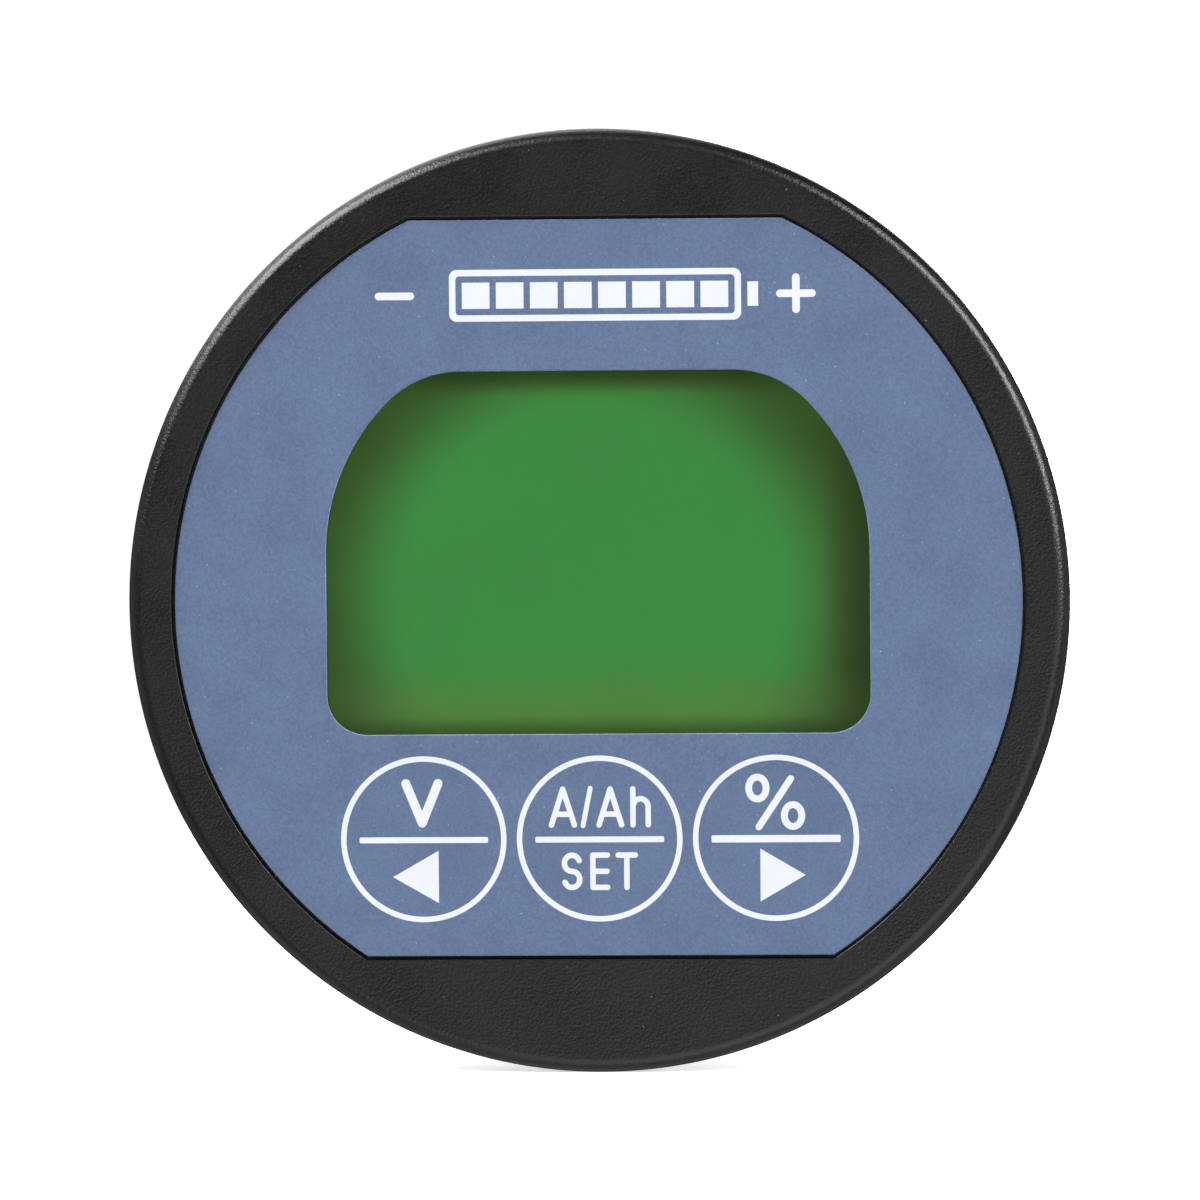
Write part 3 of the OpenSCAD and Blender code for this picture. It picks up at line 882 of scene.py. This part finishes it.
def key_print(key):
    """A ring, a bar across it and the key's two marks, drawn in millimetres about its centre."""
    centre = np.array(middle(f"key_film_{key}"))
    place, half = np.array((0.0, BAR_LEVEL)), np.array((BAR_HALF, BAR_WEIGHTS[key] / 2))
    bar = block(place - half, place + half, BAR_CORNER, steps=3)
    marks = [centre + np.asarray(o) * MM for o in [*LEGENDS[key], bar]]
    edges = [circle(centre, (RING_R + side * RING_WEIGHT / 2) * MM, KEY_SIDES)
             for side in (1, -1)]

    def surface(x, z):
        return FILM_FRONT + dish(math.hypot(x - centre[0], z - centre[1]))

    solid = bmesh.new()
    add_layer(solid, marks, [], surface, INK, 0.5 * MM)
    add_layer(solid, edges[:1], edges[1:], surface, INK)
    bend(piece(f"key_print_{key}", solid, INK_WHITE))


def battery_mark():
    """A plain battery symbol with its charge bars, between a minus and a plus sign."""
    level = (FILM_TOP + WINDOW_TOP) / 2
    half_w, half_h, line, corner = 9.6 * MM, 1.7 * MM, 0.42 * MM, 0.5 * MM
    cap_w, cap_half, bars, gap = 0.7 * MM, 0.8 * MM, 8, 0.42 * MM
    centre = np.array((0.0, level))
    corner_at = np.array((half_w, half_h))
    shell = block(centre - corner_at, centre + corner_at, corner)
    room = block(centre - corner_at + line, centre + corner_at - line, corner - line * 0.6)
    cap = block(centre + (half_w + gap, -cap_half), centre + (half_w + gap + cap_w, cap_half))
    pitch = (2 * (half_w - line) - gap) / bars
    start = centre + (-half_w + line + gap, 0)
    inner_h = half_h - line - gap
    cells = [block(start + (i * pitch, -inner_h), start + ((i + 1) * pitch - gap, inner_h))
             for i in range(bars)]
    reach, sign_x, weight = 1.05 * MM, 13.2 * MM, 0.5 * MM
    signs = stroke([(-sign_x - reach, level), (-sign_x + reach, level)], weight)
    signs += stroke([(sign_x - reach, level), (sign_x + reach, level)], weight)
    signs += stroke([(sign_x, level - reach), (sign_x, level + reach)], weight)
    solid = bmesh.new()
    for outlines, holes in (([shell], [room]), ([cap], []), (cells, []), (signs, [])):
        add_layer(solid, outlines, holes, lambda x, z: FILM_FRONT, INK)
    piece("battery_mark", solid, INK_WHITE, "head")


# ---- Can, gasket, washer and nut ----

def thread(turn, level, root, crest, middle_phase, crest_half, root_half):
    """Radius of a right-hand thread at each turn, in whole turns, and level."""
    phase = (level / THREAD_PITCH + turn - middle_phase) % 1
    away = np.minimum(phase, 1 - phase)
    share = np.clip((root_half - away) / (root_half - crest_half), 0, 1)
    return root + (crest - root) * share


def add_can_wall(bm):
    """The can without its holes, from the middle of its back round to the middle of its inside."""
    turns = np.arange(SIDES) / SIDES
    angles = turns * 2 * math.pi
    chamfer_r = THREAD_CREST_R - CAN_CHAMFER
    rings = lathe([(0, CAN_BACK), (chamfer_r - CAN_MARGIN, CAN_BACK)])
    for level in np.arange(THREAD_START, THREAD_STOP, -ROW):
        form = thread(turns, level, THREAD_ROOT_R, THREAD_CREST_R, *THREAD_FORM)
        fade = np.clip((level - PILOT_END - THREAD_RUN_OUT) / THREAD_FADE, 0, 1)
        radii = np.minimum(THREAD_ROOT_R + (form - THREAD_ROOT_R) * fade,
                           chamfer_r + CAN_BACK - level)
        rings.append(at(polar(radii, angles), level))
    corners = [(THREAD_ROOT_R, PILOT_END), (PILOT_R, PILOT_END), (PILOT_R, 0.0), (NECK_R, 0.0),
               (NECK_R, FLANGE_BACK), (CAN_INNER_R, FLANGE_BACK), (CAN_INNER_R, CAN_INNER_BACK),
               (0, CAN_INNER_BACK)]
    easing = (0, 0.2 * MM, 0.12 * MM, 0.05 * MM, 0.1 * MM, 0.1 * MM, 0.5 * MM, 0)
    add_rings(bm, rings + lathe(eased(corners, easing)))


def can():
    """The can, with a post and a counterbored hole for each screw, and the socket's well."""
    solid, posts, cuts = bmesh.new(), bmesh.new(), bmesh.new()
    add_can_wall(solid)
    board_back, post_end, far = back("main_board"), CAN_INNER_BACK + SINK, CAN_BACK + BEYOND
    post = [(0, board_back), (POST_R, board_back), (POST_R, BOSS_END), (BOSS_R, BOSS_END),
            (BOSS_R, post_end), (0, post_end)]
    hole_r, flared_r = SCREW_R + SCREW_GAP, COUNTERBORE_R + COUNTERBORE_FLARE
    hole = [(0, 0), (hole_r, 0), (hole_r, SCREW_SEAT), (COUNTERBORE_R, SCREW_SEAT),
            (COUNTERBORE_R, CAN_BACK - COUNTERBORE_FLARE), (flared_r, CAN_BACK + HAIR),
            (flared_r, far), (0, far)]
    for place in SCREW_PLACES:
        add_rings(posts, lathe(post, place, sides=64))
        add_rings(cuts, lathe(hole, place, sides=96))
    add_marks(cuts)
    add_well(posts, cuts)
    solid = combined(solid, posts, "UNION")
    solid = combined(solid, cuts, "DIFFERENCE")
    piece("threaded_can", solid, CASE_PLASTIC, "head", ["rear_can"])


def add_marks(bm):
    """The ejector pins' round marks, and the blank recess for a label."""
    near, edge, far = CAN_BACK - MARK_DEPTH, CAN_BACK + HAIR, CAN_BACK + BEYOND
    disc = [(0, near), (EJECTOR_R - MARK_DEPTH, near), (EJECTOR_R, edge), (EJECTOR_R, far),
            (0, far)]
    for angle in EJECTOR_ANGLES:
        place = arc((0, 0), EJECTOR_REACH, angle, angle, 1)[0]
        add_rings(bm, lathe(disc, place, sides=72))
    half = np.array(LABEL) / 2
    narrow, wide = (block(LABEL_PLACE - half - grow, LABEL_PLACE + half + grow, LABEL_CORNER + grow)
                    for grow in (-MARK_DEPTH, 0.0))
    add_rings(bm, [at(narrow, near), at(wide, edge), at(wide, far)])
    add_flat(bm, [narrow], [], near)
    add_flat(bm, [wide], [], far)


def add_well(posts, cuts):
    """The way in for the cable's plug: walled round inside, and flared at the can's back."""
    centre, half = np.array(middle("data_socket")), np.array(WELL) / 2
    collar = block(centre - half - WELL_WALL, centre + half + WELL_WALL)
    add_prism(posts, collar, back("data_socket") + WELL_GAP, CAN_INNER_BACK + SINK)
    narrow, wide = (block(centre - half - grow, centre + half + grow, WELL_CORNER + grow)
                    for grow in (0.0, WELL_FLARE))
    near, far = back("data_socket") - BEYOND, CAN_BACK + BEYOND
    add_rings(cuts, [at(narrow, near), at(narrow, CAN_BACK - WELL_FLARE),
                     at(wide, CAN_BACK + HAIR), at(wide, far)])
    add_flat(cuts, [narrow], [], near)
    add_flat(cuts, [wide], [], far)


def gasket():
    """A flat ring with two shallow grooves in the face that meets the panel."""
    low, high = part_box("panel_gasket")
    inner, outer = PILOT_R + GASKET_GAP, high.x
    near, far, groove = low.y, high.y, high.y - GROOVE_DEPTH
    corners = [(inner, near), (outer, near), (outer, far)]
    easing = [GASKET_INNER_EDGE, GASKET_EDGE, GASKET_EDGE]
    for share in (0.7, 0.35):
        radius = inner + (outer - inner) * share
        corners += [(radius + GROOVE_MOUTH, far), (radius + GROOVE_FLOOR, groove),
                    (radius - GROOVE_FLOOR, groove), (radius - GROOVE_MOUTH, far)]
        easing += [0, 0, 0, 0]
    corners.append((inner, far))
    easing.append(GASKET_INNER_EDGE)
    solid = bmesh.new()
    add_rings(solid, lathe(eased(corners, easing, closed=True)), closed=True)
    piece("gasket_ring", solid, GASKET_RUBBER, "head", ["panel_gasket"])


def washer():
    low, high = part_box("clamp_washer")
    inner, outer = PILOT_R + WASHER_GAP, high.x
    corners = [(inner, low.y), (outer, low.y), (outer, high.y), (inner, high.y)]
    solid = bmesh.new()
    add_rings(solid, lathe(eased(corners, [WASHER_EDGE] * 4, closed=True)), closed=True)
    piece("washer_ring", solid, STEEL, "washer", ["clamp_washer"])


def ribs(turns):
    """How far the nut's round ribs stand proud of its grip at each turn."""
    pitch = 1 / NUT_RIBS
    off = (turns + pitch / 2) % pitch - pitch / 2
    angle = off * 2 * math.pi
    centre = NUT_GRIP_R - RIB_SINK
    under = np.maximum(RIB_R ** 2 - (centre * np.sin(angle)) ** 2, 0)
    bulge = np.where(under > 0, centre * np.cos(angle) + np.sqrt(under), 0)
    return np.maximum(0, bulge - NUT_GRIP_R)


def nut():
    """The ring nut: a flange, a ribbed grip behind it, a plain mouth, and a thread inside."""
    sides = NUT_RIBS * 16
    turns = np.arange(sides) / sides
    angles = turns * 2 * math.pi
    flange_back = NUT_FRONT + NUT_FLANGE
    outside = eased([(NUT_MOUTH_R, NUT_FRONT), (NUT_R, NUT_FRONT), (NUT_R, flange_back),
                     (NUT_GRIP_R, flange_back)], (0, NUT_EDGE, NUT_EDGE, 0))[1:-1]
    rings = [at(polar(radius, angles), level) for radius, level in outside]
    rings.append(at(polar(NUT_GRIP_R + ribs(turns), angles), flange_back))
    for t in np.linspace(0, math.pi / 2, 7):
        level = RIB_END - RIB_EASE * (1 - math.sin(t))
        rings.append(at(polar(NUT_GRIP_R + ribs(turns) * math.cos(t), angles), level))
    edge = eased([(NUT_GRIP_R, RIB_END), (NUT_GRIP_R, NUT_BACK), (NUT_ROOT_R, NUT_BACK)],
                 (0, NUT_BACK_EDGE, 0))[1:]
    rings += [at(polar(radius, angles), level) for radius, level in edge]
    mouth_end = NUT_FRONT + NUT_MOUTH
    for level in np.arange(NUT_BACK - ROW, mouth_end, -ROW):
        radii = thread(turns, level, NUT_ROOT_R, NUT_CREST_R, *NUT_FORM)
        ease = np.clip((NUT_BACK - level) / NUT_LEAD_IN, 0, 1)
        rings.append(at(polar(NUT_ROOT_R + (radii - NUT_ROOT_R) * ease, angles), level))
    mouth = eased([(NUT_ROOT_R, mouth_end), (NUT_MOUTH_R, mouth_end), (NUT_MOUTH_R, NUT_FRONT),
                   (NUT_R, NUT_FRONT)], (0, 0, 0.2 * MM, 0))[:-1]
    rings += [at(polar(radius, angles), level) for radius, level in mouth]
    solid = bmesh.new()
    add_rings(solid, rings, closed=True)
    piece("ribbed_nut", solid, NUT_PLASTIC, "nut", ["ring_nut"])


def screws():
    """Three pan-head screws with a cross recess."""
    solid = bmesh.new()
    corners = [(0, SCREW_TIP), (SCREW_R, SCREW_TIP), (SCREW_R, SCREW_SEAT),
               (SCREW_HEAD_R, SCREW_SEAT), (SCREW_HEAD_R, SCREW_TOP), (0, SCREW_TOP)]
    easing = (0, 0.3 * MM, 0, 0.15 * MM, 0.7 * MM, 0)
    near, far = SCREW_TOP - CROSS_DEPTH, SCREW_TOP + BEYOND
    for place in np.array(SCREW_PLACES):
        add_rings(solid, lathe(eased(corners, easing), place, sides=72))
        for reach in (np.array(CROSS), np.array(CROSS[::-1])):
            cross = bmesh.new()
            wide = block(place - reach, place + reach)
            deep = block(place - reach * CROSS_TAPER, place + reach * CROSS_TAPER)
            add_rings(cross, [at(wide, far), at(wide, SCREW_TOP), at(deep, near)])
            add_flat(cross, [wide], [], far)
            add_flat(cross, [deep], [], near)
            solid = combined(solid, cross, "DIFFERENCE")
    piece("pan_head_screws", solid, STEEL, "head", ["case_screws"])


# ---- CAD nodes that are shown as they are ----

def soften(node, material, edge=0.0):
    """Gives a CAD node its finish and, with an edge, breaks its sharp corners."""
    obj = frame["nodes"][node]
    for socket in obj.material_slots:
        socket.material = material
    join = obj.modifiers.new("join", "WELD")
    join.merge_threshold = 1e-6
    if edge:
        merge = obj.modifiers.new("merge", "DECIMATE")
        merge.decimate_type = "DISSOLVE"
        merge.angle_limit = math.radians(1)
        broken = obj.modifiers.new("broken edges", "BEVEL")
        broken.width = edge
        broken.segments = 2
        broken.limit_method = "ANGLE"
        broken.angle_limit = math.radians(40)
    shading = obj.modifiers.new("even shading", "WEIGHTED_NORMAL")
    shading.keep_sharp = True


def carried_over():
    fine, small = 0.03 * MM, 0.08 * MM
    soften("overlay_adhesive", ADHESIVE)
    soften("window_lens", ACRYLIC)
    soften("dust_foam", FOAM_RUBBER)
    soften("lcd_front_polarizer", DISPLAY)
    soften("lcd_front_glass", GLASS)
    soften("lcd_rear_glass", GLASS)
    soften("lcd_rear_film", GUIDE)
    soften("backlight_guide", GUIDE)
    soften("backlight_leds", EMITTER, fine)
    soften("lcd_holder", WHITE_PLASTIC)
    soften("lcd_pins", TINNED, fine)
    soften("main_board", BOARD)
    soften("microcontroller", CHIP_PLASTIC, small)
    soften("display_driver", CHIP_PLASTIC, small)
    soften("memory_chip", CHIP_PLASTIC, small)
    soften("voltage_regulator", CHIP_PLASTIC, small)
    soften("chip_leads", TINNED)
    soften("crystal", STEEL, small)
    soften("smoothing_capacitor", ALUMINIUM, small)
    soften("chip_resistors", CERAMIC, fine)
    soften("data_socket", WHITE_PLASTIC, small)
    soften("data_socket_pins", TINNED, small)
    for key in KEYS:
        soften(f"switch_body_{key}", SWITCH_PLASTIC, small)
        soften(f"switch_cover_{key}", STEEL, fine)
        soften(f"key_cap_{key}", KEY_PLASTIC, small)
        soften(f"key_stem_{key}", WHITE_PLASTIC, small)


# ---- Camera, light and floor ----

def towards(turn, height):
    """Direction of a viewer turned round from -Y towards +X and raised, in degrees."""
    a, e = math.radians(turn), math.radians(height)
    return Vector((math.sin(a) * math.cos(e), -math.cos(a) * math.cos(e), math.sin(e)))


def camera():
    data = bpy.data.cameras.new("camera")
    data.lens = data.sensor_width * CAMERA_DISTANCE * CAMERA_SHARE / (2 * BEZEL_R)
    obj = bpy.data.objects.new("camera", data)
    bpy.context.scene.collection.objects.link(obj)
    sight = towards(CAMERA_TURN, CAMERA_HEIGHT)
    obj.location = Vector((0.0, FACE / 2, 0.0)) + sight * CAMERA_DISTANCE
    roll = Quaternion((0, 0, 1), math.radians(CAMERA_ROLL))
    obj.rotation_mode = "QUATERNION"
    obj.rotation_quaternion = (-sight).to_track_quat("-Z", "Y") @ roll
    bpy.context.scene.camera = obj


def soft_box(name, polar_angle, side_angle, length, breadth, radiance, distance=0.6):
    """An area light that faces the object, polar_angle off the reader's line of sight and at
    side_angle round it, counter-clockwise from +X. Its length runs away from that line."""
    p, s = math.radians(polar_angle), math.radians(side_angle)
    outward = Vector((math.cos(s), 0, math.sin(s)))
    place = outward * math.sin(p) + Vector((0, -math.cos(p), 0))
    along = outward * math.cos(p) + Vector((0, math.sin(p), 0))
    data = bpy.data.lights.new(name, "AREA")
    data.shape = "RECTANGLE"
    data.size, data.size_y = breadth, length
    data.energy = radiance * math.pi * length * breadth
    obj = bpy.data.objects.new(name, data)
    obj.location = place * distance
    obj.rotation_mode = "QUATERNION"
    obj.rotation_quaternion = Matrix((along.cross(place), along, place)).transposed().to_quaternion()
    bpy.context.scene.collection.objects.link(obj)
    return obj


def lights():
    soft_box("upper_left", 63, 134, 1.06, 0.56, 10.0, distance=1.2)
    soft_box("right", 48, 34, 0.48, 0.80, 10.4, distance=1.2)
    soft_box("lower_right", 28, -64, 1.00, 1.20, 0.95, distance=1.2)
    soft_box("below", 85, -90, 1.20, 1.60, 0.35)
    soft_box("right_side", 92, 5, 0.60, 0.90, 0.3)
    soft_box("left_side", 88, 188, 0.60, 0.90, 0.2)
    soft_box("left_rear", 115, 120, 0.40, 0.70, 2.0)
    soft_box("rear_fill", 165, 90, 0.60, 0.60, 2.0)
    soft_box("rear_key", 168, 40, 0.25, 0.25, 9.0)


def world():
    """White to the camera, and a dimmer grey as light on the object."""
    scene_world = bpy.data.worlds.new("studio")
    bpy.context.scene.world = scene_world
    scene_world.use_nodes = True
    tree = scene_world.node_tree
    grey = tree.nodes["Background"]
    grey.inputs["Color"].default_value = (1, 1, 1, 1)
    grey.inputs["Strength"].default_value = 0.13
    white = tree.nodes.new("ShaderNodeBackground")
    white.inputs["Color"].default_value = (1, 1, 1, 1)
    white.inputs["Strength"].default_value = 1.05
    ray = tree.nodes.new("ShaderNodeLightPath")
    mix = tree.nodes.new("ShaderNodeMixShader")
    tree.links.new(ray.outputs["Is Camera Ray"], mix.inputs[0])
    tree.links.new(grey.outputs[0], mix.inputs[1])
    tree.links.new(white.outputs[0], mix.inputs[2])
    tree.links.new(mix.outputs[0], tree.nodes["World Output"].inputs["Surface"])


def floor():
    """A plain pale floor under the object."""
    half, level = 0.3, -BEZEL_R
    mesh = bpy.data.meshes.new("floor")
    corners = [(-half, -half, level), (half, -half, level), (half, half, level), (-half, half, level)]
    mesh.from_pydata(corners, [], [(0, 1, 2, 3)])
    nodes = Nodes("floor")
    shade = nodes.ramp(nodes.noise(40 * MM), (0.3, (0.86, 0.86, 0.86)), (0.7, (0.9, 0.9, 0.9)))
    nodes.link(shade, nodes.shader.inputs["Base Color"])
    nodes.shader.inputs["Emission Color"].default_value = (1, 1, 1, 1)
    nodes.constants(Roughness=0.9, Emission_Strength=0.6)
    mesh.materials.append(nodes.material)
    obj = bpy.data.objects.new("floor", mesh)
    bpy.context.scene.collection.objects.link(obj)
    obj.visible_glossy = False
    obj.visible_diffuse = False
    obj.visible_shadow = False


camera()
lights()
world()
floor()
bezel()
overlay()
for name in KEYS:
    key_patch(name)
    key_print(name)
battery_mark()
can()
gasket()
washer()
nut()
screws()
carried_over()
bpy.context.scene.view_settings.view_transform = "Standard"
